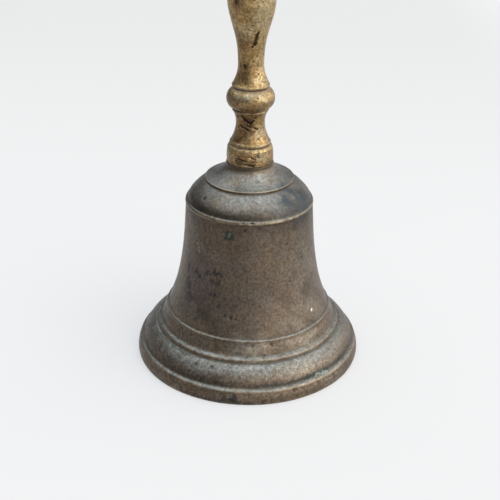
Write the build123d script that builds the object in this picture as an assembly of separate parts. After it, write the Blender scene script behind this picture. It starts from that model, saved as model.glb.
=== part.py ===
from build123d import *
import os

# Brass hand bell: a cast cup, a turned handle drawn together by a tie rod, and a hanging clapper.
#
# Millimetres. +Z is up along the bell's axis, and the origin is the centre of the mouth,
# in the plane of the lip that the bell stands on. Radii and heights are from there.

# ---- driving dimensions -------------------------------------------------------------------------
MOUTH_RADIUS = 37.9            # widest radius, on the lip band
CUP_TOP = 68.2                 # where the handle's collar sits on the crown
CEILING = 60.0                 # flat inside face of the crown
TOTAL_HEIGHT = 152.0           # mouth to the tip of the finial

ROD_RADIUS = 2.4               # 3/16 inch tie rod
ROD_CLEARANCE = 0.15           # between the rod and the pieces threaded over it
THREAD_GAP = 0.03              # between mating threads, drawn as plain cylinders
ROD_FOOT = 50.2                # lower end of the tie rod, inside the bell
ROD_HEAD = 145.5               # upper end of the tie rod, inside the finial

# heights of the joints between the handle's pieces, each one the bottom of a turned groove
COLLAR_TOP = 74.2
SPOOL_TOP = 85.9
KNOP_TOP = 92.6
GRIP_TOP = 135.6

WASHER_RADIUS = 6.6
WASHER_THICKNESS = 1.0
NUT_ACROSS_FLATS = 8.4
NUT_THICKNESS = 4.0

# clapper suspension: three wire rings, each hanging on the one above
RING_GAP = 0.06                # between two rings where one rests on the other
EYE_WIRE = 1.2                 # wire radius of the fixed eye
EYE_RING = 3.2                 # its centre-line radius
HANGER_RADIUS = 3.6            # barrel that screws on to the tie rod
HANGER_FOOT = 49.0
HANGER_HEAD = 53.8
LINK_WIRE = 1.0
LINK_BOW = 2.7                 # centre-line radius of the link's two ends
LINK_STRAIGHT = 3.0            # between them
CLAPPER_WIRE = 1.3
CLAPPER_RING = 3.3
BALL_RADIUS = 7.5
BALL_HEIGHT = 12.5             # centre of the ball above the mouth
BALL_FLAT = 2.9                # radius of the flats the rod passes through
SHOULDER_RADIUS = 2.5          # swaged on the rod above the ball
RIVET_WASHER_RADIUS = 3.0
RIVET_WASHER_THICKNESS = 0.7
PEEN_RADIUS = 2.1              # rod's end, hammered over the washer
PEEN_HEIGHT = 1.1

# worked out from these
EYE_HEIGHT = HANGER_FOOT - EYE_RING - EYE_WIRE / 6
LINK_PIVOT = EYE_HEIGHT - EYE_RING                                        # hinge of the link
LINK_HEAD = LINK_PIVOT + EYE_WIRE + LINK_WIRE + RING_GAP
CLAPPER_PIVOT = LINK_HEAD - 2 * LINK_BOW - LINK_STRAIGHT                  # hinge of the clapper
BALL_FOOT = BALL_HEIGHT - (BALL_RADIUS ** 2 - BALL_FLAT ** 2) ** 0.5
BALL_HEAD = 2 * BALL_HEIGHT - BALL_FOOT
CLAPPER_RING_HEIGHT = CLAPPER_PIVOT + LINK_WIRE + CLAPPER_WIRE + RING_GAP - CLAPPER_RING


# ---- shared shapes ------------------------------------------------------------------------------
def bore(radius, low, high):
    """A plain round hole on the bell's axis."""
    return Pos(0, 0, low) * Cylinder(radius, high - low, align=(Align.CENTER, Align.CENTER, Align.MIN))


def turn(*edges):
    """The solid that a closed half outline in the XZ plane sweeps round the axis."""
    return revolve(make_face(Plane.XZ * Curve(edges)), Axis.Z)


def turned_column(low, high, *side):
    """A solid of revolution between two flat ends, its side given from the bottom upwards."""
    foot = side[0] @ 0
    head = side[-1] @ 1
    return turn(
        Line((0, low), (foot.X, low)),
        *side,
        Line((head.X, high), (0, high)),
        Line((0, high), (0, low)),
    )


def wire_ring(ring, wire, height, normal):
    """A closed round wire ring centred on the axis, its flat side facing along normal."""
    return Plane(origin=(0, 0, height), z_dir=normal) * Torus(ring, wire)


# ---- cup ----------------------------------------------------------------------------------------
def bell_cup():
    """The casting: lip band, two flared mouldings, concave waist, shoulder and crown."""
    band_foot = (MOUTH_RADIUS - 0.1, 0)
    band_side = (MOUTH_RADIUS, 0.6)
    band_head = (37.4, 3.8)
    ledge = (36.1, 5.05)
    hem_foot = (35.95, 5.5)
    hem_head = (31.6, 10.95)
    skirt_step = (31.0, 11.05)
    skirt_side = (30.9, 11.4)
    skirt_foot = (29.9, 12.6)
    skirt_head = (27.75, 17.2)
    waist_foot = (27.05, 17.6)
    waist_head = (20.7, 54.4)
    bead_side = (20.68, 55.45)
    bead_head = (20.2, 55.82)
    shoulder_head = (14.5, 61.95)
    crown_step = (14.15, 62.15)
    crown_side = (14.32, 62.7)
    crown_edge = (14.15, 63.05)
    neck = (7.6, 67.7)
    outside = (
        Line(band_foot, band_side),
        ThreePointArc(band_side, (37.85, 2.2), band_head),
        ThreePointArc(band_head, (37.0, 4.65), ledge),
        Line(ledge, hem_foot),
        ThreePointArc(hem_foot, (34.4, 8.42), hem_head),
        Line(hem_head, skirt_step),
        Line(skirt_step, skirt_side),
        ThreePointArc(skirt_side, (30.62, 12.17), skirt_foot),
        Spline(skirt_foot, (28.85, 14.45), skirt_head, tangents=[(-1, 0.5), (-0.12, 1)]),
        ThreePointArc(skirt_head, (27.55, 17.5), waist_foot),
        Spline(waist_foot, (25.05, 23.2), (22.95, 31.5), (21.5, 42.5), waist_head,
               tangents=[(-0.3, 1), (-0.06, 1)]),
        ThreePointArc(waist_head, (20.88, 54.95), bead_side),
        ThreePointArc(bead_side, (20.47, 55.75), bead_head),
        Spline(bead_head, (19.7, 56.95), (18.15, 59.0), shoulder_head,
               tangents=[(-0.6, 1), (-1, 0.5)]),
        Line(shoulder_head, crown_step),
        Line(crown_step, crown_side),
        ThreePointArc(crown_side, (14.34, 62.92), crown_edge),
        Spline(crown_edge, (9.7, 65.1), neck, tangents=[(-1, 0.25), (-0.15, 1)]),
        Line(neck, (neck[0], CUP_TOP)),
    )
    vault = (18.6, 53.2)
    inside = (
        Line((12.2, CEILING), (0, CEILING)),
        ThreePointArc((12.2, CEILING), (16.9, 57.9), vault),
        Spline(vault, (19.45, 42.5), (22.3, 24.0), (28.0, 11.9), (33.3, 4.2), (34.9, 0),
               tangents=[(0.02, -1), (0.25, -1)]),
    )
    casting = turn(
        *outside,
        Line((neck[0], CUP_TOP), (0, CUP_TOP)),
        Line((0, CUP_TOP), (0, CEILING)),
        *inside,
        Line((34.9, 0), band_foot),
    )
    return casting - bore(ROD_RADIUS + ROD_CLEARANCE, CEILING, CUP_TOP)


# ---- handle -------------------------------------------------------------------------------------
def handle_collar():
    """Short barrel that carries the handle on the crown."""
    body = turned_column(
        CUP_TOP, COLLAR_TOP,
        Line((7.3, CUP_TOP), (7.5, 68.6)),
        ThreePointArc((7.5, 68.6), (7.52, 70.6), (7.32, 72.7)),
        ThreePointArc((7.32, 72.7), (7.15, 73.45), (6.5, COLLAR_TOP)),
    )
    return body - bore(ROD_RADIUS + ROD_CLEARANCE, CUP_TOP, COLLAR_TOP)


def handle_spool():
    """Hollow-waisted spool with a small roll at its foot."""
    body = turned_column(
        COLLAR_TOP, SPOOL_TOP,
        ThreePointArc((6.4, COLLAR_TOP), (6.62, 74.8), (6.2, 75.5)),
        Spline((6.2, 75.5), (4.62, 80.9), (5.85, 85.3), tangents=[(-0.5, 1), (0.75, 1)]),
        Line((5.85, 85.3), (5.4, SPOOL_TOP)),
    )
    return body - bore(ROD_RADIUS + ROD_CLEARANCE, COLLAR_TOP, SPOOL_TOP)


def handle_knop():
    """Rounded bead between the spool and the grip."""
    body = turned_column(
        SPOOL_TOP, KNOP_TOP,
        Line((5.6, SPOOL_TOP), (6.15, 86.05)),
        ThreePointArc((6.15, 86.05), (7.66, 88.95), (6.05, 92.15)),
        Line((6.05, 92.15), (5.5, KNOP_TOP)),
    )
    return body - bore(ROD_RADIUS + ROD_CLEARANCE, SPOOL_TOP, KNOP_TOP)


def handle_grip():
    """Long vase-shaped grip that flares out at its foot and narrows to a neck at its head."""
    body = turned_column(
        KNOP_TOP, GRIP_TOP,
        ThreePointArc((5.5, KNOP_TOP), (5.98, 93.1), (5.7, 93.8)),
        Spline((5.7, 93.8), (4.3, 97.5), (4.08, 101.2), (4.96, 108.3), (6.72, 114.6), (7.5, 121.2),
               (6.55, 128.0), (4.5, GRIP_TOP), tangents=[(-0.5, 1), (-0.1, 1)]),
    )
    return body - bore(ROD_RADIUS + ROD_CLEARANCE, KNOP_TOP, GRIP_TOP)


def handle_finial():
    """Ring, hollow neck and ball that close the handle's top, with a blind threaded hole."""
    body = turn(
        Line((0, GRIP_TOP), (4.6, GRIP_TOP)),
        ThreePointArc((4.6, GRIP_TOP), (5.9, 137.1), (4.6, 138.6)),
        ThreePointArc((4.6, 138.6), (3.9, 139.9), (4.4, 141.1)),
        ThreePointArc((4.4, 141.1), (6.35, 145.6), (2.0, 150.5)),
        Line((2.0, 150.5), (1.8, 151.1)),
        TangentArc((0, TOTAL_HEIGHT), (1.8, 151.1), tangent=(1, 0)),
        Line((0, TOTAL_HEIGHT), (0, GRIP_TOP)),
    )
    return body - bore(ROD_RADIUS + THREAD_GAP, GRIP_TOP, ROD_HEAD + 0.4)


def tie_rod():
    """Steel rod that draws the handle's pieces down on the crown."""
    return bore(ROD_RADIUS, ROD_FOOT, ROD_HEAD)


# ---- fastening inside the crown -----------------------------------------------------------------
def crown_washer():
    """Plain washer under the crown."""
    low = CEILING - WASHER_THICKNESS
    return bore(WASHER_RADIUS, low, CEILING) - bore(ROD_RADIUS + ROD_CLEARANCE, low, CEILING)


def crown_nut():
    """Hexagon nut with its corners chamfered round on both faces."""
    high = CEILING - WASHER_THICKNESS
    low = high - NUT_THICKNESS
    prism = extrude(Pos(0, 0, low) * RegularPolygon(NUT_ACROSS_FLATS / 2, 6, major_radius=False),
                    NUT_THICKNESS)
    corner = NUT_ACROSS_FLATS / 3 ** 0.5
    rounding = turned_column(
        low, high,
        Line((NUT_ACROSS_FLATS / 2, low), (corner, low + 0.4)),
        Line((corner, low + 0.4), (corner, high - 0.4)),
        Line((corner, high - 0.4), (NUT_ACROSS_FLATS / 2, high)),
    )
    return (prism & rounding) - bore(ROD_RADIUS + THREAD_GAP, low, high)


def clapper_hanger():
    """Barrel screwed on to the rod's end, with the eye that the clapper's link hangs from."""
    barrel = turned_column(
        HANGER_FOOT, HANGER_HEAD,
        Line((HANGER_RADIUS - 0.8, HANGER_FOOT), (HANGER_RADIUS, HANGER_FOOT + 0.8)),
        Line((HANGER_RADIUS, HANGER_FOOT + 0.8), (HANGER_RADIUS, HANGER_HEAD)),
    )
    eye = wire_ring(EYE_RING, EYE_WIRE, EYE_HEIGHT, (0, 1, 0))
    return barrel + eye - bore(ROD_RADIUS + THREAD_GAP, ROD_FOOT - 0.2, HANGER_HEAD)


# ---- clapper ------------------------------------------------------------------------------------
def clapper_link():
    """Oval wire link lying in the YZ plane."""
    side = LINK_STRAIGHT / 2
    middle = LINK_HEAD - LINK_BOW - side
    path = Plane.YZ * Curve((
        Line((LINK_BOW, middle - side), (LINK_BOW, middle + side)),
        ThreePointArc((LINK_BOW, middle + side), (0, middle + side + LINK_BOW), (-LINK_BOW, middle + side)),
        Line((-LINK_BOW, middle + side), (-LINK_BOW, middle - side)),
        ThreePointArc((-LINK_BOW, middle - side), (0, middle - side - LINK_BOW), (LINK_BOW, middle - side)),
    ))
    section = Plane(origin=(0, LINK_BOW, middle - side), z_dir=(0, 0, 1)) * Circle(LINK_WIRE)
    return sweep(section, path=Wire(path.edges()))


def clapper_rod():
    """Wire bent into a ring at the top; below, a swaged shoulder, the shank and a peened head."""
    ring = wire_ring(CLAPPER_RING, CLAPPER_WIRE, CLAPPER_RING_HEIGHT, (0, 1, 0))
    washer_foot = BALL_FOOT - RIVET_WASHER_THICKNESS
    shank = turned_column(
        washer_foot, CLAPPER_RING_HEIGHT - CLAPPER_RING,
        Line((CLAPPER_WIRE, washer_foot), (CLAPPER_WIRE, BALL_HEAD)),
        Line((CLAPPER_WIRE, BALL_HEAD), (SHOULDER_RADIUS, BALL_HEAD)),
        ThreePointArc((SHOULDER_RADIUS, BALL_HEAD), (SHOULDER_RADIUS * 0.9, BALL_HEAD + 1.1),
                      (CLAPPER_WIRE, BALL_HEAD + 2.0)),
        Line((CLAPPER_WIRE, BALL_HEAD + 2.0), (CLAPPER_WIRE, CLAPPER_RING_HEIGHT - CLAPPER_RING)),
    )
    peened_head = turn(
        Line((0, washer_foot), (PEEN_RADIUS, washer_foot)),
        TangentArc((0, washer_foot - PEEN_HEIGHT), (PEEN_RADIUS, washer_foot), tangent=(1, 0)),
        Line((0, washer_foot - PEEN_HEIGHT), (0, washer_foot)),
    )
    return ring + shank + peened_head


def clapper_ball():
    """Ball with a small flat at each pole, drilled for the rod."""
    body = turned_column(
        BALL_FOOT, BALL_HEAD,
        ThreePointArc((BALL_FLAT, BALL_FOOT), (BALL_RADIUS, BALL_HEIGHT), (BALL_FLAT, BALL_HEAD)),
    )
    return body - bore(CLAPPER_WIRE + THREAD_GAP, BALL_FOOT, BALL_HEAD)


def clapper_rivet_washer():
    """Small washer under the ball that the rod's end is peened over."""
    low = BALL_FOOT - RIVET_WASHER_THICKNESS
    return bore(RIVET_WASHER_RADIUS, low, BALL_FOOT) - bore(CLAPPER_WIRE + THREAD_GAP, low, BALL_FOOT)


NODES = {
    "bell_cup": bell_cup,
    "handle_collar": handle_collar,
    "handle_spool": handle_spool,
    "handle_knop": handle_knop,
    "handle_grip": handle_grip,
    "handle_finial": handle_finial,
    "tie_rod": tie_rod,
    "crown_washer": crown_washer,
    "crown_nut": crown_nut,
    "clapper_hanger": clapper_hanger,
    "clapper_link": clapper_link,
    "clapper_rod": clapper_rod,
    "clapper_ball": clapper_ball,
    "clapper_rivet_washer": clapper_rivet_washer,
}

os.makedirs("parts", exist_ok=True)
for name, build in NODES.items():
    export_step(build(), f"parts/{name}.step")
print("link pivot", round(LINK_PIVOT, 3), "clapper pivot", round(CLAPPER_PIVOT, 3))
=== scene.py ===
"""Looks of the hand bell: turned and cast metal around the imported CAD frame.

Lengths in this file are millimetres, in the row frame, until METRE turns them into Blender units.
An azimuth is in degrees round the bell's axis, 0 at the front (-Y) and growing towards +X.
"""
import math
from itertools import pairwise

import bpy
import numpy as np
from mathutils import Matrix, Vector, noise


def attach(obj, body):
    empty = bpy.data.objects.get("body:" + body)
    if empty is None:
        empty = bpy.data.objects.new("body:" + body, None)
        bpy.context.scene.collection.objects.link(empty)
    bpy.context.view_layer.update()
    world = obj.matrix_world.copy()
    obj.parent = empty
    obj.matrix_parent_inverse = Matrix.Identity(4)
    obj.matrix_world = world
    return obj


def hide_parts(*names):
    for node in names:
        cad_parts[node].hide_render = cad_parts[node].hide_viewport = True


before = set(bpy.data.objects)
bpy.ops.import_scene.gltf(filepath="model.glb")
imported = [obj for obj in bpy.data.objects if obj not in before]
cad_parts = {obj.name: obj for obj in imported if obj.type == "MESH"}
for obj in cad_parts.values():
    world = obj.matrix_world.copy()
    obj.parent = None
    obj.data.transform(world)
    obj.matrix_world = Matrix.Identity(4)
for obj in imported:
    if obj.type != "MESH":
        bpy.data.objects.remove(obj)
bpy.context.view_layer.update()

METRE = 0.001                     # one millimetre in Blender units
ROOT_BODY = "bell"
CLAPPER_BODY = "clapper"


# ---- outlines: radius and height, drawn as in the CAD ------------------------------------------
SAMPLE = 0.05                     # spacing of the points that an outline is first drawn with


def line(start, end):
    """Evenly spaced points from start to end."""
    start, end = np.array(start, float), np.array(end, float)
    steps = max(2, int(np.linalg.norm(end - start) / SAMPLE) + 1)
    share = np.linspace(0, 1, steps)[:, None]
    return start + share * (end - start)


def arc(start, middle, end):
    """Points along the circle through three points."""
    (ax, ay), (bx, by), (cx, cy) = start, middle, end
    d = 2 * (ax * (by - cy) + bx * (cy - ay) + cx * (ay - by))
    a2, b2, c2 = ax * ax + ay * ay, bx * bx + by * by, cx * cx + cy * cy
    centre = np.array([(a2 * (by - cy) + b2 * (cy - ay) + c2 * (ay - by)) / d,
                       (a2 * (cx - bx) + b2 * (ax - cx) + c2 * (bx - ax)) / d])
    radius = math.dist(start, centre)
    angles = [math.atan2(p[1] - centre[1], p[0] - centre[0]) for p in (start, middle, end)]
    turn_left = (bx - ax) * (cy - ay) - (by - ay) * (cx - ax) > 0
    sweep = (angles[2] - angles[0]) % math.tau
    if not turn_left:
        sweep -= math.tau
    steps = max(3, int(abs(sweep) * radius / SAMPLE) + 1)
    t = angles[0] + np.linspace(0, sweep, steps)
    return np.stack([centre[0] + radius * np.cos(t), centre[1] + radius * np.sin(t)], 1)


def curve(points, leave, arrive):
    """Smooth cubic curve through the points, leaving and arriving in the given directions."""
    p = np.array(points, float)
    gaps = np.linalg.norm(np.diff(p, axis=0), axis=1)
    ends = [np.array(d, float) / np.linalg.norm(d) for d in (leave, arrive)]
    count = len(p)
    system, target = np.zeros((count, count)), np.zeros((count, 2))
    system[0, 0] = system[-1, -1] = 1
    target[0], target[-1] = ends
    for i in range(1, count - 1):
        before, after = gaps[i - 1], gaps[i]
        system[i, i - 1:i + 2] = after, 2 * (before + after), before
        target[i] = 3 * (after * (p[i] - p[i - 1]) / before + before * (p[i + 1] - p[i]) / after)
    slopes = np.linalg.solve(system, target)
    out = []
    for i, gap in enumerate(gaps):
        t = np.linspace(0, 1, max(3, int(gap / SAMPLE) + 1))[:, None]
        out.append((2 * t**3 - 3 * t**2 + 1) * p[i] + (t**3 - 2 * t**2 + t) * gap * slopes[i]
                   + (3 * t**2 - 2 * t**3) * p[i + 1] + (t**3 - t**2) * gap * slopes[i + 1])
    return np.concatenate(out)


def joined(*stretches):
    """One outline from stretches that follow each other, without the doubled points."""
    points = np.concatenate(stretches)
    apart = np.linalg.norm(np.diff(points, axis=0), axis=1) > SAMPLE / 100
    return points[np.concatenate([[True], apart])]


def cup_outline():
    """Outside from the lip upwards, over the crown, down the rod's hole and back down the inside."""
    outside = joined(
        line((34.9, 0), (37.8, 0)),
        line((37.8, 0), (37.9, 0.6)),
        arc((37.9, 0.6), (37.85, 2.2), (37.4, 3.8)),
        arc((37.4, 3.8), (37.0, 4.65), (36.1, 5.05)),
        line((36.1, 5.05), (35.95, 5.5)),
        arc((35.95, 5.5), (34.4, 8.42), (31.6, 10.95)),
        line((31.6, 10.95), (31.0, 11.05)),
        line((31.0, 11.05), (30.9, 11.4)),
        arc((30.9, 11.4), (30.62, 12.17), (29.9, 12.6)),
        curve([(29.9, 12.6), (28.85, 14.45), (27.75, 17.2)], (-1, 0.5), (-0.12, 1)),
        arc((27.75, 17.2), (27.55, 17.5), (27.05, 17.6)),
        curve([(27.05, 17.6), (25.05, 23.2), (22.95, 31.5), (21.5, 42.5), (20.7, 54.4)],
              (-0.3, 1), (-0.06, 1)),
        arc((20.7, 54.4), (20.88, 54.95), (20.68, 55.45)),
        arc((20.68, 55.45), (20.47, 55.75), (20.2, 55.82)),
        curve([(20.2, 55.82), (19.7, 56.95), (18.15, 59.0), (14.5, 61.95)], (-0.6, 1), (-1, 0.5)),
        line((14.5, 61.95), (14.15, 62.15)),
        line((14.15, 62.15), (14.32, 62.7)),
        arc((14.32, 62.7), (14.34, 62.92), (14.15, 63.05)),
        curve([(14.15, 63.05), (9.7, 65.1), (7.6, 67.7)], (-1, 0.25), (-0.15, 1)),
        line((7.6, 67.7), (7.6, 68.2)),
    )
    hole = joined(line((7.6, 68.2), (2.55, 68.2)), line((2.55, 68.2), (2.55, 60.0)))
    inside = joined(
        line((2.55, 60.0), (12.2, 60.0)),
        arc((12.2, 60.0), (16.9, 57.9), (18.6, 53.2)),
        curve([(18.6, 53.2), (19.45, 42.5), (22.3, 24.0), (28.0, 11.9), (33.3, 4.2), (34.9, 0)],
              (0.02, -1), (0.25, -1)),
    )
    return [(outside, 1.0), (hole, 8.0), (inside, 3.2)]


def bored(side, low, high, hole=2.55):
    """The closed outline of a turned piece with flat ends and a plain hole, side given upwards."""
    foot, head = side[0], side[-1]
    return [
        (side, 1.0),
        (joined(line(head, (hole, high)), line((hole, high), (hole, low)), line((hole, low), foot)), 8.0),
    ]


def collar_outline():
    side = joined(
        line((7.3, 68.2), (7.5, 68.6)),
        arc((7.5, 68.6), (7.52, 70.6), (7.32, 72.7)),
        arc((7.32, 72.7), (7.15, 73.45), (6.5, 74.2)),
    )
    return bored(side, 68.2, 74.2)


def spool_outline():
    side = joined(
        arc((6.4, 74.2), (6.62, 74.8), (6.2, 75.5)),
        curve([(6.2, 75.5), (4.62, 80.9), (5.85, 85.3)], (-0.5, 1), (0.75, 1)),
        line((5.85, 85.3), (5.4, 85.9)),
    )
    return bored(side, 74.2, 85.9)


def knop_outline():
    side = joined(
        line((5.6, 85.9), (6.15, 86.05)),
        arc((6.15, 86.05), (7.66, 88.95), (6.05, 92.15)),
        line((6.05, 92.15), (5.5, 92.6)),
    )
    return bored(side, 85.9, 92.6)


def grip_outline():
    side = joined(
        arc((5.5, 92.6), (5.98, 93.1), (5.7, 93.8)),
        curve([(5.7, 93.8), (4.3, 97.5), (4.08, 101.2), (4.96, 108.3), (6.72, 114.6), (7.5, 121.2),
               (6.55, 128.0), (4.5, 135.6)], (-0.5, 1), (-0.1, 1)),
    )
    return bored(side, 92.6, 135.6)


def finial_outline():
    """Open outline from the foot of the blind hole round the outside to the tip, on the axis."""
    top = 152.0
    return [
        (joined(line((0, 145.9), (2.43, 145.9)), line((2.43, 145.9), (2.43, 135.6)),
                line((2.43, 135.6), (4.6, 135.6))), 8.0),
        (joined(
            arc((4.6, 135.6), (5.9, 137.1), (4.6, 138.6)),
            arc((4.6, 138.6), (3.9, 139.9), (4.4, 141.1)),
            arc((4.4, 141.1), (6.35, 145.6), (2.0, 150.5)),
            line((2.0, 150.5), (1.8, 151.1)),
            arc((1.8, 151.1), (0.95, 151.77), (0, top)),
        ), 1.0),
    ]


def ball_outline():
    """Closed outline of the clapper's ball: two small flats, drilled through."""
    radius, middle, flat, hole = 7.5, 12.5, 2.9, 1.33
    pole = math.sqrt(radius**2 - flat**2)
    side = arc((flat, middle - pole), (radius, middle), (flat, middle + pole))
    return bored(side, middle - pole, middle + pole, hole)


# ---- turning an outline into a mesh ------------------------------------------------------------
EDGE_ROUNDING = 0.11              # standard deviation of the smoothing that rounds every corner
WEAR_REACH = 0.9                  # the same, for finding what stands out and what lies deep


def smoothed(values, spacing, reach, closed):
    """Gaussian smoothing of evenly spaced points along an outline."""
    half = int(4 * reach / spacing) + 1
    kernel = np.exp(-0.5 * (np.arange(-half, half + 1) * spacing / reach) ** 2)
    kernel /= kernel.sum()
    padded = np.pad(values, ((half, half), (0, 0)), mode="wrap" if closed else "reflect",
                    **({} if closed else {"reflect_type": "odd"}))
    return np.stack([np.convolve(padded[:, k], kernel, mode="valid") for k in range(values.shape[1])], 1)


def evenly(points, extra, spacing, closed):
    """Points, with a value that goes along, at an even spacing."""
    if closed:
        points = np.vstack([points, points[:1]])
        extra = np.append(extra, extra[0])
    run = np.concatenate([[0], np.cumsum(np.linalg.norm(np.diff(points, axis=0), axis=1))])
    count = int(run[-1] / spacing)
    at = np.linspace(0, run[-1], count, endpoint=not closed)
    return np.stack([np.interp(at, run, points[:, k]) for k in (0, 1)], 1), np.interp(at, run, extra)


def prepared_outline(stretches, closed, rings):
    """Rounds the corners, and spreads the given number of rings over the outline, closer where it
    bends and further apart where a stretch is coarse. Gives points, normals, relief (positive where
    the outline stands out of its surroundings, negative in a groove) and 1 on the hidden stretches."""
    points = np.concatenate([s for s, _ in stretches])
    coarse = np.concatenate([np.full(len(s), c) for s, c in stretches])
    points, coarse = evenly(points, coarse, SAMPLE, closed)
    fine = smoothed(points, SAMPLE, EDGE_ROUNDING, closed)
    if not closed:
        fine[0, 0] = fine[-1, 0] = 0.0
    wide = smoothed(points, SAMPLE, WEAR_REACH, closed)
    along = np.roll(fine, -1, 0) - np.roll(fine, 1, 0)
    if not closed:
        along[0], along[-1] = fine[1] - fine[0], fine[-1] - fine[-2]
    along /= np.linalg.norm(along, axis=1)[:, None] + 1e-12
    normals = np.stack([along[:, 1], -along[:, 0]], 1)
    relief = ((fine - wide) * normals).sum(1)
    bend = np.linalg.norm(np.roll(normals, -1, 0) - np.roll(normals, 1, 0), axis=1) / (2 * SAMPLE)
    if not closed:
        bend[0] = bend[-1] = 0
    bend = smoothed(bend[:, None], SAMPLE, 0.12, closed)[:, 0]
    density = (1 + 3.0 * np.minimum(bend, 2.0)) / coarse
    share = np.concatenate([[0], np.cumsum(density)])
    at = np.linspace(0, share[-1], rings, endpoint=not closed)
    index = np.minimum(np.searchsorted(share, at, side="right") - 1, len(fine) - 1)
    if not closed:
        index[0], index[-1] = 0, len(fine) - 1
    index = np.unique(index)
    return fine[index], normals[index], relief[index], (coarse[index] > 1.5) * 1.0


def direction(azimuth):
    """Unit vector in the XY plane at an azimuth in degrees."""
    a = math.radians(azimuth)
    return np.array([math.sin(a), -math.cos(a), 0.0])


def surface_point(outline, azimuth, height):
    """The point of a turned outside at an azimuth and a height."""
    side = outline[0][0]
    return direction(azimuth) * side[np.abs(side[:, 1] - height) < 0.3, 0].max() + (0, 0, height)


def surface_line(outline, start, end):
    """Points on a turned outside between two of them, close enough to follow its roundness."""
    count = 2 + int(abs(end[0] - start[0]) // 8)
    return [surface_point(outline, *place) for place in np.linspace(start, end, count)]


class Turning:
    """A lathe-turned mesh whose points can be pushed along their normals before it is made."""

    def __init__(self, name, stretches, closed=True, rings=200, around=256):
        outline, normals, relief, inner = prepared_outline(stretches, closed, rings)
        self.name, self.closed, self.around, self.rings = name, closed, around, len(outline)
        angle = np.linspace(0, math.tau, around, endpoint=False)
        ring = np.stack([np.cos(angle), np.sin(angle)], 1)
        self.points = np.concatenate([
            (outline[:, 0, None, None] * ring),
            np.broadcast_to(outline[:, 1, None, None], (self.rings, around, 1))], 2).reshape(-1, 3)
        self.normals = np.concatenate([
            (normals[:, 0, None, None] * ring),
            np.broadcast_to(normals[:, 1, None, None], (self.rings, around, 1))], 2).reshape(-1, 3)
        self.marks = {"relief": np.repeat(relief, around), "inner": np.repeat(inner, around)}
        self.push = np.zeros(len(self.points))

    def waver(self, size, depth, seed, where=None):
        """Uneven casting: pushes the surface in by 0 to depth, in swells of about the given size."""
        shift = Vector((seed * 17.3, seed * 5.1, seed * 9.7))
        swell = np.array([noise.noise(Vector(p) / size + shift) for p in self.points])
        self.push -= depth * (0.5 + 0.5 * swell) * (1 if where is None else where)

    def dent(self, centre, radius, depth, stretch=(1, 1, 1)):
        """A smooth hollow of the given depth and radius round a point."""
        away = np.linalg.norm((self.points - centre) * stretch, axis=1) / radius
        self.push -= depth * np.clip(1 - away**2, 0, 1) ** 2

    def along(self, start, end):
        """How far every point lies from a straight line, or from a single point."""
        start, run = np.array(start), np.array(end) - np.array(start)
        share = np.clip((self.points - start) @ run / max(run @ run, 1e-9), 0, 1)
        return np.linalg.norm(self.points - start - share[:, None] * run, axis=1)

    def gouge(self, start, end, radius, depth):
        """A smooth trough along a straight line."""
        away = self.along(start, end) / radius
        self.push -= depth * np.clip(1 - away**2, 0, 1) ** 2

    def stain(self, name, start, end, radius, ragged=0.35, strength=1.0, rim=0.4):
        """Raises a mark towards 1 round a point or along a straight line. It fades out over the
        given share of the radius, at a ragged rim."""
        away = self.along(start, end) / radius
        near = np.flatnonzero(away < 1 + 1.6 * ragged)
        rough = np.array([noise.fractal(Vector(self.points[i]) / (0.8 * radius), 0.7, 2.1, 4) for i in near])
        shown = np.clip((1 + 1.6 * ragged * rough - away[near]) / rim, 0, 1)
        values = self.marks.setdefault(name, np.zeros(len(self.points)))
        values[near] = np.maximum(values[near], strength * shown**2 * (3 - 2 * shown))

    def knocks(self, chance, count, low, high, radii, depths):
        """Small scattered dents between two heights on the outside."""
        outside = np.flatnonzero((self.marks["inner"] < 0.5) & (self.points[:, 2] > low)
                                 & (self.points[:, 2] < high))
        for _ in range(count):
            self.dent(self.points[chance.choice(outside)], chance.uniform(*radii), chance.uniform(*depths))

    def make(self):
        """The mesh object, with the relief and the inside marked for the materials."""
        points = (self.points + self.normals * self.push[:, None]) * METRE
        n, m = self.rings, self.around
        first = np.arange(n if self.closed else n - 1)
        rows = np.stack([first, (first + 1) % n], 1)
        columns = np.stack([np.arange(m), (np.arange(m) + 1) % m], 1)
        faces = np.stack([
            rows[:, None, 0] * m + columns[None, :, 0], rows[:, None, 0] * m + columns[None, :, 1],
            rows[:, None, 1] * m + columns[None, :, 1], rows[:, None, 1] * m + columns[None, :, 0],
        ], 2).reshape(-1, 4)
        keep = np.arange(len(points))
        if not self.closed:               # the two end rings lie on the axis: one point each
            keep[:m] = 0
            keep[-m:] = len(points) - m
        used = np.unique(keep)
        renumber = np.zeros(len(points), int)
        renumber[used] = np.arange(len(used))
        polygons = [list(dict.fromkeys(face)) for face in renumber[keep[faces]].tolist()]
        mesh = bpy.data.meshes.new(self.name)
        mesh.from_pydata(points[used].tolist(), [], polygons)
        mesh.polygons.foreach_set("use_smooth", [True] * len(mesh.polygons))
        for name, values in self.marks.items():
            attribute = mesh.attributes.new(name, "FLOAT", "POINT")
            attribute.data.foreach_set("value", values[used].astype(np.float32))
        mesh.update()
        piece = bpy.data.objects.new(self.name, mesh)
        bpy.context.scene.collection.objects.link(piece)
        return piece


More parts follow.
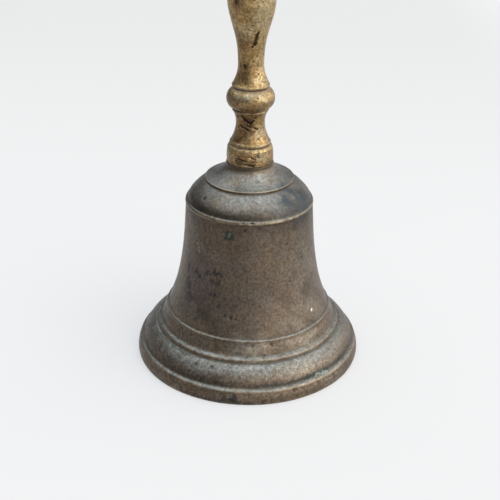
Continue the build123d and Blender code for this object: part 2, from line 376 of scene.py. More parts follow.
# ---- materials ---------------------------------------------------------------------------------
class Finish:
    """A Principled material whose colour, roughness and bump are built from object-space patterns.
    Pattern sizes are in millimetres."""

    def __init__(self, name, metallic):
        self.material = bpy.data.materials.new(name)
        self.material.use_nodes = True
        self.nodes = self.material.node_tree.nodes
        self.links = self.material.node_tree.links
        self.shader = self.nodes["Principled BSDF"]
        self.shader.inputs["Metallic"].default_value = metallic
        where = self.nodes.new("ShaderNodeTexCoord").outputs["Object"]
        self.place = self.vector("MULTIPLY", where, (1 / METRE,) * 3)

    def feed(self, socket, value):
        """Links a socket to another, or sets it to a plain value."""
        if isinstance(value, bpy.types.NodeSocket):
            self.links.new(value, socket)
        elif isinstance(value, (tuple, list)) and len(value) == 3 and socket.type == "RGBA":
            socket.default_value = (*value, 1)
        else:
            socket.default_value = value

    def vector(self, operation, a, b):
        node = self.nodes.new("ShaderNodeVectorMath")
        node.operation = operation
        self.feed(node.inputs[0], a)
        self.feed(node.inputs[1], b)
        return node.outputs["Value" if operation in ("DISTANCE", "LENGTH", "DOT_PRODUCT") else "Vector"]

    def math(self, operation, a, b=0.0, clamp=False):
        node = self.nodes.new("ShaderNodeMath")
        node.operation, node.use_clamp = operation, clamp
        self.feed(node.inputs[0], a)
        self.feed(node.inputs[1], b)
        return node.outputs[0]

    def noise(self, size, seed=0, detail=3.0, roughness=0.55, squash=(1, 1, 1), twist=0.0):
        """Noise from 0 to 1 in features of about the given size."""
        place = self.vector("MULTIPLY_ADD", self.place, tuple(squash))
        place.node.inputs[2].default_value = (seed * 31.7, seed * 12.9, seed * 23.1)
        node = self.nodes.new("ShaderNodeTexNoise")
        self.feed(node.inputs["Vector"], place)
        node.inputs["Scale"].default_value = 1 / size
        node.inputs["Detail"].default_value = detail
        node.inputs["Roughness"].default_value = roughness
        node.inputs["Distortion"].default_value = twist
        return node.outputs["Fac"]

    def turned_lines(self, size, seed=0):
        """Fine rings round the axis, as a lathe tool leaves them."""
        parts = self.nodes.new("ShaderNodeSeparateXYZ")
        self.feed(parts.inputs[0], self.place)
        flat = self.nodes.new("ShaderNodeCombineXYZ")
        self.feed(flat.inputs[0], parts.outputs[0])
        self.feed(flat.inputs[1], parts.outputs[1])
        radius = self.vector("LENGTH", flat.outputs[0], (0, 0, 0))
        rings = self.nodes.new("ShaderNodeCombineXYZ")
        self.feed(rings.inputs[0], radius)
        self.feed(rings.inputs[1], parts.outputs[2])
        rings.inputs[2].default_value = seed * 7.7
        node = self.nodes.new("ShaderNodeTexNoise")
        self.feed(node.inputs["Vector"], rings.outputs[0])
        node.inputs["Scale"].default_value = 1 / size
        node.inputs["Detail"].default_value = 4.0
        node.inputs["Roughness"].default_value = 0.7
        return node.outputs["Fac"]

    def between(self, value, low, high, first=0.0, last=1.0):
        """Value mapped smoothly from the range low..high to first..last, held beyond it."""
        node = self.nodes.new("ShaderNodeMapRange")
        node.interpolation_type = "SMOOTHSTEP"
        for name, v in zip(("Value", "From Min", "From Max", "To Min", "To Max"),
                           (value, low, high, first, last)):
            self.feed(node.inputs[name], v)
        return node.outputs[0]

    def mix(self, share, a, b, kind="MIX"):
        node = self.nodes.new("ShaderNodeMix")
        node.data_type, node.blend_type = "RGBA", kind
        self.feed(node.inputs[0], share)
        self.feed(node.inputs[6], a)
        self.feed(node.inputs[7], b)
        return node.outputs[2]

    def combine(self, value):
        """A grey colour from one value."""
        node = self.nodes.new("ShaderNodeCombineColor")
        for socket in node.inputs[:3]:
            self.feed(socket, value)
        return node.outputs[0]

    def tint(self, share, strength, colour, over):
        """Colour laid over another in the given share."""
        return self.mix(self.math("MULTIPLY", share, strength), over, colour)

    def shade(self, colour, factor):
        """A colour made darker or brighter by a factor."""
        return self.mix(1.0, colour, self.combine(factor), "MULTIPLY")

    def mark(self, name):
        """An attribute that a turning carries."""
        node = self.nodes.new("ShaderNodeAttribute")
        node.attribute_name = name
        return node.outputs["Fac"]

    def height(self):
        """Height above the mouth."""
        parts = self.nodes.new("ShaderNodeSeparateXYZ")
        self.feed(parts.inputs[0], self.place)
        return parts.outputs[2]

    def facing_up(self):
        """Upward part of the surface's own direction."""
        parts = self.nodes.new("ShaderNodeSeparateXYZ")
        self.feed(parts.inputs[0], self.nodes.new("ShaderNodeTexCoord").outputs["Normal"])
        return parts.outputs[2]

    def seams(self, heights, reach):
        """1 at each of the heights, fading to 0 over the reach."""
        total = 0.0
        for height in heights:
            away = self.math("ABSOLUTE", self.math("SUBTRACT", self.height(), height))
            total = self.math("ADD", self.between(away, reach, reach * 0.15), total, clamp=True)
        return total

    def bump(self, height, distance, strength=1.0, under=None):
        """Bump normal from a height pattern; distance is in millimetres."""
        node = self.nodes.new("ShaderNodeBump")
        node.inputs["Strength"].default_value = strength
        node.inputs["Distance"].default_value = distance * METRE
        self.feed(node.inputs["Height"], height)
        if under is not None:
            self.feed(node.inputs["Normal"], under)
        return node.outputs[0]

    def done(self, colour, roughness, normal, metallic=None):
        if metallic is not None:
            self.feed(self.shader.inputs["Metallic"], metallic)
        self.feed(self.shader.inputs["Base Color"], colour)
        self.feed(self.shader.inputs["Roughness"], roughness)
        self.feed(self.shader.inputs["Normal"], normal)
        return self.material


CUP_PITS = (                      # azimuth, height, radius
    (34.5, 47, 0.4), (-53, 59.5, 0.6), (-12.8, 23.9, 0.55), (-9.6, 23.5, 0.45), (-17.5, 24.4, 0.4),
    (15.5, 16, 0.45), (3, 16, 0.4), (0, 13, 0.35), (10, 13, 0.4), (-20, 10, 0.7), (24, 3.6, 0.5),
    (36, 34, 0.3), (-30, 9.6, 0.45),
    (52, 40.5, 0.3), (-4, 53, 0.35), (28, 9, 0.35), (9, 53.4, 0.4), (-41, 21, 0.35), (64, 12, 0.4),
    (118, 37, 0.5), (-140, 28, 0.6), (170, 46, 0.4), (-105, 14.5, 0.5), (150, 8.5, 0.6), (-160, 3, 0.5),
    (95, 58, 0.5), (2.2, 55.5, 0.35), (-4.5, 55.6, 0.25),
)
CUP_STAINS = (                    # kind, azimuth, height, radius, raggedness, strength
    # broad dark patches: painted shade, with tarnish
    ("tarnish_and_shade", -50, 35, 13, 0.4, 0.9), ("tarnish_and_shade", -38, 29, 9, 0.4, 0.6), ("tarnish_and_shade", 140, 38, 14, 0.4, 0.8),
    ("tarnish", -57, 29, 1.7, 0.8, 0.7), ("tarnish", -53, 26.5, 2.0, 0.9, 0.55),
    ("tarnish", -23, 26.6, 0.8, 0.8, 0.9), ("tarnish", -36, 23, 2.4, 0.9, 0.3),
    ("tarnish", -61, 36, 1.8, 0.8, 0.8), ("tarnish", 128, 30, 3.5, 0.8, 0.9),
    ("tarnish", -150, 41, 4.5, 0.8, 0.8), ("tarnish", 175, 24, 3.0, 0.8, 1.0),
    ("blued", 45, 59.2, 8.5, 0.4, 1.0), ("blued", 62, 58.2, 8, 0.4, 1.0), ("blued", -165, 58, 9, 0.6, 0.9),
    # bright patches: painted highlights, partly bronze rubbed bright
    ("buffed_and_highlight", 40, 14.5, 9, 0.4, 0.7), ("buffed_and_highlight", 30, 9.5, 7, 0.4, 0.35), ("buffed_and_highlight", 4, 14, 7.5, 0.4, 0.85),
    ("buffed_and_highlight", 12, 63.7, 6, 0.4, 0.9), ("buffed_and_highlight", 25, 65.3, 2.6, 0.3, 1.0),
    ("buffed_and_highlight", 55, 36, 11, 0.4, 0.6), ("buffed_and_highlight", 58, 24, 9, 0.4, 0.5),
    ("buffed_and_highlight", 48, 2.5, 9, 0.4, 0.75), ("buffed_and_highlight", -120, 12, 9, 0.4, 0.6), ("buffed_and_highlight", 160, 33, 12, 0.4, 0.4),
    ("blot", -7, 2, 1.7, 0.6, 1.0), ("blot", -11, 1.4, 1.4, 0.7, 0.8), ("blot", 8, 0.6, 1.2, 0.7, 0.5),
    ("blot", 28, 3.8, 0.5, 0.5, 0.9), ("verdigris", -17.5, 51, 1.9, 0.25, 1.0),
    ("bloom", -17.2, 51.1, 0.9, 0.3, 0.3),
    ("pale", 54.5, 22, 0.5, 0.0, 1.0),
)
CUP_STROKES = (                   # kind, azimuth and height at both ends, radius, strength
    ("tarnish", (-49, 35.4), (-44, 34.8), 0.7, 1.0), ("tarnish", (-37, 37), (-33, 36.3), 0.7, 1.0),
    ("tarnish", (-29, 38), (-27, 36.2), 0.7, 1.0), ("tarnish", (-25, 38), (-23, 36.6), 0.5, 1.0),
    ("tarnish", (-33, 34.8), (-28, 34.2), 0.6, 0.8), ("tarnish", (-27, 35), (-24, 33.6), 0.5, 0.9),
    ("tarnish", (-24, 35.4), (-27, 33.8), 0.4, 0.9), ("tarnish", (-31.5, 29.9), (-26, 30.1), 0.5, 1.0),
    ("tarnish", (-63, 36.5), (-60, 34), 0.8, 0.9), ("tarnish", (-58, 31.5), (-53, 27.5), 0.9, 0.9),
    ("verdigris", (30, 6.1), (44, 6.2), 0.7, 0.7), ("bloom", (38, 5.7), (46, 5.3), 0.55, 0.65),
    ("verdigris", (-66, 11.2), (-34, 11.0), 0.6, 0.7), ("blot", (-34, 0.7), (2, 0.7), 0.7, 0.7),
    ("blot", (8, 5.7), (62, 5.7), 0.5, 0.6), ("bloom", (-50, 45), (-47, 42.5), 0.3, 0.4),
    ("bloom", (-45, 46), (-43, 44.5), 0.25, 0.35), ("bloom", (-140, 30), (-133, 27), 0.3, 0.35),
)
SOFT_RIMS = {"tarnish_and_shade": 1.2, "blued": 1.0, "buffed_and_highlight": 1.2, "ruddy": 1.2, "smoke": 0.9, "rubbed_and_highlight": 1.2}


def cup_bronze():
    """Cast bronze under a fine-grained brown patina, bright on its edges, dark in its grooves, with
    highlights and shade painted into its colour.
    """
    f = Finish("patinated_bronze", metallic=0.92)

    # the patina: brown, with greyer and warmer clouds and a fine grain, with painted highlights and painted
    # shade
    broad = f.between(f.noise(17, seed=1, detail=3, twist=0.4), 0.36, 0.64)
    colour = f.mix(broad, (0.086, 0.064, 0.046), (0.116, 0.089, 0.065))
    grey = f.between(f.noise(7, seed=2, detail=5, roughness=0.62), 0.46, 0.7)
    colour = f.tint(grey, 0.28, (0.108, 0.105, 0.098), colour)
    warm = f.between(f.noise(9, seed=3, detail=3), 0.48, 0.7)
    colour = f.tint(warm, 0.5, (0.14, 0.1, 0.064), colour)
    # painted highlights: pale patches on the lit right and the crown, partly bronze rubbed bright
    colour = f.tint(f.mark("buffed_and_highlight"), 0.8, (0.215, 0.185, 0.145), colour)
    # surfaces facing up are tinted a lighter, greyer tone
    facing_up_grey = f.between(f.facing_up(), 0.45, 0.85)
    facing_up_grey = f.math("MULTIPLY", facing_up_grey, f.between(f.noise(5, seed=21), 0.2, 0.6))
    colour = f.tint(facing_up_grey, 0.55, (0.145, 0.149, 0.143), colour)
    low_band = f.math("MULTIPLY", f.between(f.height(), 4.6, 3.6), f.between(f.noise(4, seed=22), 0.35, 0.6))
    colour = f.tint(low_band, 0.5, (0.13, 0.093, 0.06), colour)
    # painted shade under the bead, with tarnish: a dark band fading out downwards
    shade_and_tarnish_under_bead = f.math("MULTIPLY", f.between(f.height(), 49.0, 54.2), f.between(f.height(), 55.2, 54.6))
    colour = f.tint(shade_and_tarnish_under_bead, 0.55, (0.062, 0.045, 0.035), colour)
    for edge, clear, share in ((55.6, 60.2, 0.95), (5.2, 7.4, 0.7)):  # dust, and painted shade, in the corner above an edge
        band = f.between(f.height(), clear, edge + 0.5)
        band = f.math("MULTIPLY", band, f.between(f.height(), edge, edge + 0.4))
        dust_and_shade = f.math("MULTIPLY", band, f.between(f.noise(3, seed=edge), 0.1, 0.5))
        colour = f.tint(dust_and_shade, share, (0.04, 0.033, 0.026), colour)
    # painted shade with tarnish: broad dark purplish patches, mostly on the shaded left of the waist
    colour = f.tint(f.mark("tarnish_and_shade"), 0.6, (0.062, 0.049, 0.059), colour)
    mottle = f.between(f.noise(0.9, seed=4, detail=5, roughness=0.78), 0.28, 0.72, 0.54, 1.46)
    colour = f.shade(colour, mottle)
    low_down = f.between(f.height(), 20, 12)                          # coarser where it is handled less
    grit = f.between(f.noise(1.3, seed=32, detail=3, roughness=0.65), 0.3, 0.7, 0.78, 1.26)
    colour = f.mix(low_down, colour, f.shade(colour, grit))

    # tarnish, dirt and wear, and painted glints
    stains = f.between(f.noise(1.1, seed=23, detail=5, roughness=0.8), 0.22, 0.5)
    stains = f.math("MULTIPLY", f.mark("tarnish"), stains)
    colour = f.tint(stains, 0.95, (0.021, 0.022, 0.023), colour)
    blued = f.math("MULTIPLY", f.mark("blued"), f.between(f.noise(3.5, seed=24, detail=4), 0.1, 0.5))
    colour = f.tint(blued, 0.95, (0.028, 0.034, 0.039), colour)
    relief = f.mark("relief")
    broken = f.between(f.noise(2.2, seed=5, detail=4), 0.32, 0.6)
    worn = f.math("MULTIPLY", f.between(relief, 0.07, 0.3), broken)
    worn = f.math("MULTIPLY", worn, f.between(f.height(), 66.5, 65.0))
    colour = f.tint(worn, 0.62, (0.31, 0.24, 0.155), colour)
    grime = f.between(relief, -0.05, -0.26)
    green = f.between(f.noise(7, seed=25, detail=3), 0.48, 0.62)
    dirt = f.mix(green, (0.045, 0.034, 0.021), (0.046, 0.05, 0.032))
    colour = f.tint(grime, 0.78, dirt, colour)
    collar_dirt = f.between(f.height(), 66.6, 67.9)
    colour = f.tint(collar_dirt, 0.75, (0.045, 0.033, 0.02), colour)
    specks = f.between(f.noise(0.6, seed=6, detail=3), 0.64, 0.74)
    colour = f.tint(specks, 0.6, (0.035, 0.029, 0.024), colour)
    # painted glints: small bright specks in the colour stand in for sparkles of light
    painted_glints = f.between(f.noise(0.5, seed=26, detail=2), 0.68, 0.78)
    colour = f.tint(painted_glints, 0.5, (0.3, 0.28, 0.24), colour)

    # single marks
    pits = f.mark("pit")
    colour = f.tint(pits, 0.9, (0.018, 0.012, 0.01), colour)
    colour = f.tint(f.mark("blot"), 0.85, (0.02, 0.024, 0.026), colour)
    colour = f.tint(f.mark("verdigris"), 0.85, (0.016, 0.029, 0.021), colour)
    bloom = f.math("MULTIPLY", f.mark("bloom"), f.between(f.noise(0.8, seed=30, detail=3), 0.35, 0.55))
    colour = f.tint(bloom, 0.85, (0.3, 0.34, 0.29), colour)
    colour = f.tint(f.mark("pale"), 1.0, (0.75, 0.77, 0.72), colour)

    # the inside was never turned or handled: dull, sandy, with green bloom
    raw = f.between(f.noise(6, seed=27, detail=4), 0.4, 0.62)
    raw = f.mix(raw, (0.085, 0.06, 0.038), (0.13, 0.105, 0.07))
    mould = f.between(f.noise(9, seed=28, detail=5, roughness=0.65), 0.56, 0.68)
    raw = f.tint(mould, 0.5, (0.07, 0.1, 0.075), raw)
    raw = f.shade(raw, mottle)
    inner = f.mark("inner")
    colour = f.mix(inner, colour, raw)

    rough = f.between(f.noise(3.5, seed=7, detail=5, roughness=0.65), 0.3, 0.7, 0.38, 0.5)
    rough = f.math("ADD", rough, f.math("MULTIPLY", f.math("MAXIMUM", grime, inner), 0.24), clamp=True)
    grain = f.bump(f.noise(0.5, seed=8, detail=4, roughness=0.75), 0.075, 0.8)
    turned = f.bump(f.turned_lines(0.3, seed=1), 0.02, 0.35, under=grain)
    pitting = f.between(f.noise(1.1, seed=9, detail=3, roughness=0.75), 0.64, 0.78, 1, 0)
    pitting = f.bump(f.math("SUBTRACT", pitting, pits), 0.08, 0.7, under=turned)
    uneven = f.math("MULTIPLY", f.noise(1.3, seed=31, detail=3, roughness=0.7), low_down)
    pitting = f.bump(uneven, 0.2, 0.6, under=pitting)
    sand = f.math("MULTIPLY", f.noise(0.8, seed=29, detail=5, roughness=0.7), inner)
    metallic = f.between(grime, 0, 1.6, 0.92, 0.3)
    return f.done(colour, rough, f.bump(sand, 0.25, 0.8, under=pitting), metallic)


HANDLE_SEAMS = (68.2, 74.2, 85.9, 135.6)
GOUGES = {                        # azimuth and height at both ends, and radius
    "collar": (((-31, 71), (-10, 70.4), 0.3), ((-12, 69.3), (8, 68.9), 0.3), ((0, 71.8), (10, 71.1), 0.2),
               ((120, 71), (138, 70.5), 0.3)),
    "spool": (((-24, 82.9), (-1, 81.8), 0.42), ((-1, 81.8), (12, 82.8), 0.38),
              ((-13, 81.2), (28, 80.0), 0.38), ((-41, 80.9), (-9, 79.7), 0.42),
              ((-30, 84.3), (-12, 82.4), 0.5), ((85, 82.6), (78, 81.6), 0.4)),
    "knop": (((-150, 88), (-140, 88.6), 0.3),),
    "grip": (((23, 110.3), (18.5, 109.2), 0.45), ((18.5, 109.6), (14.5, 106.6), 0.72),
             ((12, 106.6), (4, 105.8), 0.34)),
}
HANDLE_SPOTS = {                  # azimuth, height and radius
    "collar": ((-35, 70.5, 0.4), (20, 71.8, 0.25), (160, 70, 0.5)),
    "spool": ((-50, 83.8, 0.5), (16, 83.7, 0.42), (20, 79.3, 0.25), (30, 77, 0.3), (150, 80.5, 0.5)),
    "knop": ((-22, 86.9, 0.5), (18, 90.9, 0.3), (140, 88.4, 0.6)),
    "grip": ((-29, 99.8, 0.55), (34, 97.2, 0.3), (2, 112.6, 0.3), (-20, 94.6, 0.4), (-38, 119.5, 0.7),
             (160, 104, 0.6), (-130, 117, 0.7)),
}
HANDLE_STAINS = {                 # kind, azimuth, height, radius and strength
    # pale patches: painted highlights, partly brass rubbed bright
    "collar": (("ruddy", -12, 72, 2.4, 1.0), ("rubbed_and_highlight", -54, 71.5, 3.5, 0.9), ("rubbed_and_highlight", 35, 71.5, 4, 1.0),
               ("ruddy", 130, 71, 4, 0.7), ("smoke", -25, 70.4, 2.2, 0.8), ("smoke", 2, 69.6, 2.4, 0.7),
               ("smoke", 12, 72, 1.4, 0.6)),
    "spool": (("smoke", -25, 83.2, 3.6, 0.9), ("smoke", -10, 81.6, 2.6, 0.7), ("ruddy", -35, 77.5, 4, 1.0),
              ("ruddy", 0, 78.5, 3, 0.8), ("rubbed_and_highlight", 35, 78, 4, 1.0), ("smoke", 150, 82, 2.5, 0.8),
              ("ruddy", -150, 78, 3, 0.8)),
    "knop": (("ruddy", -30, 88.2, 4, 1.0), ("ruddy", 5, 87.6, 3.4, 1.0), ("rubbed_and_highlight", 24, 91, 4, 0.8),
             ("rubbed_and_highlight", -32, 90.8, 3.4, 0.8), ("rubbed_and_highlight", -8, 91.4, 3.4, 1.0), ("ruddy", 150, 89, 4, 0.9)),
    "grip": (("ruddy", -48, 101, 5, 1.0), ("smoke", -31, 99.6, 2.1, 1.0), ("smoke", -24, 96.4, 2, 0.6),
             ("ruddy", -40, 107, 4.5, 1.0), ("smoke", -75, 108, 5, 0.5), ("ruddy", -60, 116, 6, 0.8),
             ("smoke", -32, 119.4, 3.4, 0.6),
             ("ruddy", 6, 120, 4, 0.5), ("rubbed_and_highlight", 35, 96, 3.6, 0.9), ("rubbed_and_highlight", 40, 103, 4.5, 0.7),
             ("rubbed_and_highlight", 35, 112, 8, 1.0), ("rubbed_and_highlight", 38, 121, 8, 1.0), ("ruddy", 140, 110, 5, 0.9),
             ("rubbed_and_highlight", -150, 121, 7, 0.8), ("smoke", 160, 98, 2.5, 0.8), ("ruddy", -120, 102, 4, 0.8)),
}


def handle_brass():
    """Aged yellow brass: bright where hands rub it and where highlights are painted in, brown in the seams,
    speckled with tarnish.
    """
    f = Finish("aged_brass", metallic=0.96)
    broad = f.between(f.noise(7, seed=11, detail=4, twist=0.5), 0.36, 0.62)
    colour = f.mix(broad, (0.18, 0.122, 0.05), (0.285, 0.208, 0.096))
    red = f.between(f.noise(3.2, seed=12, detail=4), 0.5, 0.68)
    colour = f.tint(red, 0.5, (0.2, 0.115, 0.062), colour)
    handled = f.between(f.height(), 86, 104)
    colour = f.mix(1.0, colour, f.mix(handled, (0.89, 0.81, 0.76), (1.28, 1.23, 1.16)), "MULTIPLY")
    # painted rim light: the collar, below the spool, is made brighter
    brighter = f.between(f.height(), 75, 73.5, 1.0, 1.35)
    colour = f.tint(f.mark("ruddy"), 0.75, (0.19, 0.1, 0.05), colour)
    # painted highlights: pale patches on the knop, the collar's sides and the lit right, partly brass rubbed
    # bright
    colour = f.tint(f.mark("rubbed_and_highlight"), 0.8, f.mix(handled, (0.23, 0.195, 0.128), (0.33, 0.267, 0.157)), colour)
    colour = f.shade(colour, brighter)
    mottle = f.between(f.noise(0.8, seed=13, detail=5, roughness=0.78), 0.28, 0.7, 0.4, 1.5)
    blotchy = f.between(f.noise(1.6, seed=20, detail=5, roughness=0.8), 0.5, 0.64)
    blotchy = f.math("MULTIPLY", blotchy, f.between(f.height(), 100, 84, 0.25, 1.0))
    colour = f.shade(colour, mottle)
    colour = f.tint(f.mark("smoke"), 0.85, (0.062, 0.033, 0.02), colour)
    colour = f.tint(blotchy, 0.75, (0.075, 0.046, 0.024), colour)
    relief = f.mark("relief")
    worn = f.math("MULTIPLY", f.between(relief, 0.04, 0.25), f.between(f.noise(1.6, seed=14), 0.4, 0.62))
    colour = f.tint(worn, 0.4, (0.45, 0.39, 0.26), colour)
    streaks = f.between(f.noise(1.9, seed=18, detail=4, roughness=0.7, squash=(1, 1, 5)), 0.52, 0.64)
    streaks = f.math("MULTIPLY", streaks, f.between(f.height(), 78.0, 72.5))
    colour = f.tint(streaks, 0.8, (0.06, 0.038, 0.02), colour)
    thick = f.between(f.noise(1.4, seed=19, detail=3), 0.2, 0.55)
    seams = f.math("MULTIPLY", f.seams(HANDLE_SEAMS, 0.9), thick)
    colour = f.tint(seams, 0.65, (0.1, 0.064, 0.032), colour)
    grime = f.between(relief, -0.03, -0.25)
    colour = f.tint(grime, 0.45, (0.085, 0.055, 0.03), colour)
    filled = f.seams((92.6,), 1.1)                    # the seam over the knop is packed with old polish
    colour = f.tint(filled, 0.85, (0.17, 0.115, 0.068), colour)
    specks = f.between(f.noise(0.55, seed=15, detail=3), 0.57, 0.67)
    colour = f.tint(specks, 0.75, (0.06, 0.036, 0.019), colour)
    scars = f.mark("scar")
    colour = f.tint(scars, 0.92, (0.022, 0.013, 0.009), colour)
    rough = f.between(f.noise(2.2, seed=16, detail=5), 0.3, 0.7, 0.3, 0.46)
    dull = f.math("MAXIMUM", f.math("MAXIMUM", grime, seams), filled)
    rough = f.math("ADD", rough, f.math("MULTIPLY", f.math("MAXIMUM", dull, scars), 0.28), clamp=True)
    grain = f.bump(f.noise(0.55, seed=17, detail=5, roughness=0.78), 0.12, 0.85)
    turned = f.bump(f.turned_lines(0.35, seed=2), 0.03, 0.4, under=grain)
    metallic = f.between(dull, 0, 1, 0.96, 0.4)
    return f.done(colour, rough, f.bump(f.math("SUBTRACT", 1.0, scars), 0.1, 0.8, under=turned), metallic)


def plain_metal(name, colour, dark, stain, metallic, roughness, seed):
    """Old bare metal for the fastenings and the clapper: mottled and stained, with dull tarnish."""
    f = Finish(name, metallic)
    tone = f.between(f.noise(2.2, seed=seed, detail=5, roughness=0.65), 0.35, 0.65)
    shown = f.mix(tone, dark, colour)
    stained = f.between(f.noise(1.8, seed=seed + 4, detail=5, roughness=0.7, twist=0.3), 0.46, 0.6)
    shown = f.tint(stained, 0.8, stain, shown)
    specks = f.between(f.noise(0.5, seed=seed + 1, detail=3), 0.6, 0.72)
    shown = f.tint(specks, 0.6, tuple(c * 0.35 for c in dark), shown)
    rough = f.between(f.noise(1.5, seed=seed + 2, detail=4), 0.3, 0.7, roughness - 0.1, roughness + 0.12)
    rough = f.math("ADD", rough, f.math("MULTIPLY", stained, 0.2))
    return f.done(shown, rough, f.bump(f.noise(0.35, seed=seed + 3, detail=4), 0.04, 0.7),
                  f.between(stained, 0, 1, metallic, metallic - 0.5))


def dress(piece, material, slot, body, *nodes):
    """Gives a new piece its material, its body and the CAD nodes that it stands for."""
    piece.data.materials.append(material)
    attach(piece, body)
    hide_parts(*nodes)


# ---- the pieces --------------------------------------------------------------------------------
def cast_cup():
    outline = cup_outline()
    cup = Turning("cast_cup", outline, rings=258, around=384)
    outer = (np.hypot(cup.points[:, 0], cup.points[:, 1]) > 7.7) * 1.0
    cup.waver(11, 0.10, seed=1, where=outer)
    cup.waver(3.2, 0.035, seed=2, where=outer)
    cup.waver(2.4, 0.10, seed=3, where=cup.marks["inner"] * outer)
    chance = np.random.default_rng(7)
    cup.knocks(chance, 26, 0.5, 6.0, (0.9, 2.2), (0.04, 0.14))
    cup.knocks(chance, 30, 6.0, 62.0, (0.8, 2.0), (0.02, 0.07))
    cup.dent(surface_point(outline, 2.5, 55.4), 1.1, 0.3)
    cup.dent(surface_point(outline, -6.0, 55.4), 0.9, 0.16)
    for azimuth, height, radius in CUP_PITS:
        pit = surface_point(outline, azimuth, height)
        cup.dent(pit, radius + 0.45, 0.18)
        cup.stain("pit", pit, pit, radius + 0.1)
    for _ in range(90):
        pit = surface_point(outline, chance.uniform(-180, 180), chance.triangular(1, 9, 50))
        cup.stain("pit", pit, pit, chance.uniform(0.18, 0.36), ragged=0.5, strength=chance.uniform(0.4, 0.9))
    for kind, azimuth, height, radius, ragged, strength in CUP_STAINS:
        middle = surface_point(outline, azimuth, height)
        cup.stain(kind, middle, middle, radius, ragged, strength, SOFT_RIMS.get(kind, 0.4))
    for kind, start, end, radius, strength in CUP_STROKES:
        for first, last in pairwise(surface_line(outline, start, end)):
            cup.stain(kind, first, last, radius, 0.7, strength)
    dress(cup.make(), cup_bronze(), "cup_bronze", ROOT_BODY, "bell_cup")


def turned_handle():
    outlines = {"collar": collar_outline(), "spool": spool_outline(), "knop": knop_outline(),
                "grip": grip_outline()}
    rings = {"collar": 90, "spool": 130, "knop": 100, "grip": 260}
    material = handle_brass()
    chance = np.random.default_rng(11)
    for seed, (part, outline) in enumerate(outlines.items()):
        turning = Turning("brass_" + part, outline, rings=rings[part], around=192)
        outer = (np.hypot(turning.points[:, 0], turning.points[:, 1]) > 3.8) * 1.0
        turning.waver(4.5, 0.10, seed=10 + seed, where=outer)
        turning.waver(1.4, 0.05, seed=20 + seed, where=outer)
        height = turning.points[:, 2]
        turning.knocks(chance, 36, height.min(), height.max(), (0.5, 1.3), (0.03, 0.09))
        for start, end, radius in GOUGES[part]:
            ends = surface_point(outline, *start), surface_point(outline, *end)
            turning.gouge(*ends, radius + 0.2, 0.22)
            turning.stain("scar", *ends, radius, ragged=0.3)
        for azimuth, level, radius in HANDLE_SPOTS[part]:
            spot = surface_point(outline, azimuth, level)
            turning.dent(spot, radius + 0.3, 0.12)
            turning.stain("scar", spot, spot, radius, ragged=0.5)
        for kind, azimuth, level, radius, strength in HANDLE_STAINS[part]:
            middle = surface_point(outline, azimuth, level)
            turning.stain(kind, middle, middle, radius, 0.5, strength, SOFT_RIMS[kind])
        dress(turning.make(), material, "handle_brass", ROOT_BODY, "handle_" + part)
    finial = Turning("brass_finial", finial_outline(), closed=False, rings=190, around=192)
    outer = (1 - finial.marks["inner"]) * (finial.points[:, 2] < 151)
    finial.waver(4.0, 0.06, seed=15, where=outer)
    finial.knocks(chance, 24, 136.5, 150.5, (0.5, 1.2), (0.02, 0.06))
    dress(finial.make(), material, "handle_brass", ROOT_BODY, "handle_finial")


def clapper(material):
    ball = Turning("cast_ball", ball_outline(), rings=110, around=128)
    ball.waver(3.5, 0.12, seed=31)
    dress(ball.make(), material, "clapper_brass", CLAPPER_BODY, "clapper_ball")


def paint(node, material):
    """A new material for a CAD node that keeps its shape."""
    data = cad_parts[node].data
    data.materials.clear()
    data.materials.append(material)


# ---- camera, floor and light -------------------------------------------------------------------
def place_camera():
    distance, elevation, roll = 342.0, math.radians(32.22), math.radians(0.76)
    aim = Vector((0.42, 0, 35.99)) * METRE
    camera = bpy.data.objects.new("camera", bpy.data.cameras.new("camera"))
    camera.location = Vector((0, -math.cos(elevation), math.sin(elevation))) * distance * METRE
    camera.data.sensor_width = 36.0
    camera.data.lens = 69.84
    forward = (aim - camera.location).normalized()
    camera.rotation_mode = "QUATERNION"
    turn = forward.to_track_quat("-Z", "Y").to_matrix() @ Matrix.Rotation(roll, 3, "Z")
    camera.rotation_quaternion = turn.to_quaternion()
    camera.data.clip_start, camera.data.clip_end = 0.01, 50
    bpy.context.scene.collection.objects.link(camera)
    bpy.context.scene.camera = camera


def place_floor():
    half = 6.0
    mesh = bpy.data.meshes.new("floor")
    corners = [(-half, -half, 0), (half, -half, 0), (half, half, 0), (-half, half, 0)]
    mesh.from_pydata(corners, [], [(0, 1, 2, 3)])
    floor = bpy.data.objects.new("floor", mesh)
    bpy.context.scene.collection.objects.link(floor)
    material = bpy.data.materials.new("pale_floor")
    material.use_nodes = True
    nodes, links = material.node_tree.nodes, material.node_tree.links
    shader = nodes["Principled BSDF"]
    shader.inputs["Base Color"].default_value = (0.205, 0.183, 0.166, 1)
    shader.inputs["Roughness"].default_value = 0.9
    shader.inputs["Specular IOR Level"].default_value = 0.1
    shader.inputs["Emission Color"].default_value = (0.955, 0.991, 1.045, 1)      # the floor glows as painted light: soft shadows
    parts = nodes.new("ShaderNodeSeparateXYZ")
    links.new(nodes.new("ShaderNodeTexCoord").outputs["Object"], parts.inputs[0])
    # The glow is painted light: even where the bell stands, then dimmer far back and on the left and brighter
    # on the right, for the bell's reflections:
    # axis, the two places in metres between which the glow changes, and by how much it does.
    glow = 0.46
    for axis, start, full, change in ((1, 0.0, 0.5, -0.08), (0, -0.15, -0.6, -0.3), (0, 0.14, 0.55, 0.8)):
        fade = nodes.new("ShaderNodeMapRange")
        fade.interpolation_type = "SMOOTHSTEP"
        for name, value in (("From Min", start), ("From Max", full), ("To Min", 0), ("To Max", change)):
            fade.inputs[name].default_value = value
        links.new(parts.outputs[axis], fade.inputs["Value"])
        add = nodes.new("ShaderNodeMath")
        links.new(fade.outputs[0], add.inputs[0])
        if isinstance(glow, float):
            add.inputs[1].default_value = glow
        else:
            links.new(glow, add.inputs[1])
        glow = add.outputs[0]
    links.new(glow, shader.inputs["Emission Strength"])
    mesh.materials.append(material)


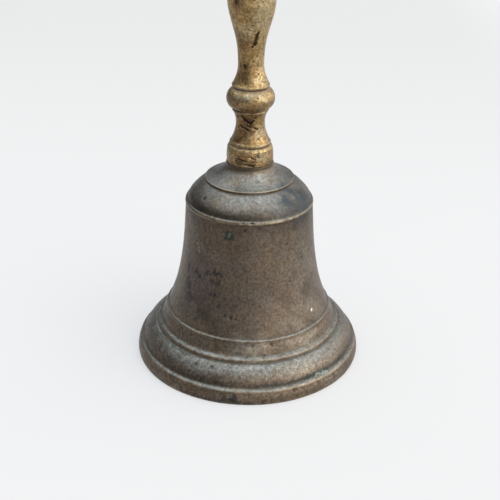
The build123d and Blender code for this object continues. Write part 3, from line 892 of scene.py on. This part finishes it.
def place_light():
    """A soft sky: brightest overhead, dim and even on the left, bright low down on the right, with
    one broad window high in front on the right."""
    world = bpy.data.worlds.new("studio")
    bpy.context.scene.world = world
    world.use_nodes = True
    nodes, links = world.node_tree.nodes, world.node_tree.links
    towards = nodes.new("ShaderNodeTexCoord").outputs["Generated"]

    def lobe(azimuth, elevation, start, full):
        """0 to 1 as the direction comes from start to full degrees of one direction."""
        aim = direction(azimuth) * math.cos(math.radians(elevation))
        aim[2] = math.sin(math.radians(elevation))
        near = nodes.new("ShaderNodeVectorMath")
        near.operation = "DOT_PRODUCT"
        links.new(towards, near.inputs[0])
        near.inputs[1].default_value = aim
        ramp = nodes.new("ShaderNodeMapRange")
        ramp.interpolation_type = "SMOOTHSTEP"
        ramp.inputs["From Min"].default_value = math.cos(math.radians(start))
        ramp.inputs["From Max"].default_value = math.cos(math.radians(full))
        links.new(near.outputs["Value"], ramp.inputs["Value"])
        return ramp.outputs[0]

    def blend(share, below, above, kind="MIX"):
        node = nodes.new("ShaderNodeMix")
        node.data_type, node.blend_type = "RGBA", kind
        links.new(share, node.inputs[0])
        for socket, value in ((node.inputs[6], below), (node.inputs[7], above)):
            if isinstance(value, tuple):
                socket.default_value = (*value, 1)
            else:
                links.new(value, socket)
        return node.outputs[2]

    sky = blend(lobe(72, 0, 86, 28), (0.14, 0.14, 0.15), (3.0, 2.95, 2.85))
    sky = blend(lobe(0, 90, 70, 6), sky, (3.0, 3.4, 3.7))
    sky = blend(lobe(60, 32, 32, 8), sky, (2.1, 2.05, 1.95), "ADD")
    links.new(sky, nodes["Background"].inputs["Color"])
    nodes["Background"].inputs["Strength"].default_value = 1.0


bpy.context.scene.view_settings.view_transform = "Standard"
place_camera()
place_floor()
place_light()

cast_cup()
turned_handle()
clapper(plain_metal("ball_brass", (0.34, 0.25, 0.13), (0.16, 0.11, 0.06), (0.09, 0.062, 0.035),
                    metallic=0.9, roughness=0.42, seed=40))
steel = plain_metal("old_steel", (0.2, 0.185, 0.165), (0.1, 0.085, 0.07), (0.12, 0.06, 0.03),
                    metallic=0.9, roughness=0.45, seed=50)
wire = plain_metal("iron_wire", (0.16, 0.13, 0.11), (0.07, 0.05, 0.04), (0.1, 0.048, 0.025),
                   metallic=0.85, roughness=0.5, seed=60)
cast_brass = plain_metal("cast_brass", (0.34, 0.25, 0.13), (0.15, 0.1, 0.05), (0.07, 0.05, 0.03),
                         metallic=0.9, roughness=0.45, seed=70)
for material, *nodes in ((steel, "tie_rod", "crown_washer", "crown_nut"),
                         (wire, "clapper_link", "clapper_rod"),
                         (cast_brass, "clapper_hanger", "clapper_rivet_washer")):
    for node in nodes:
        paint(node, material)
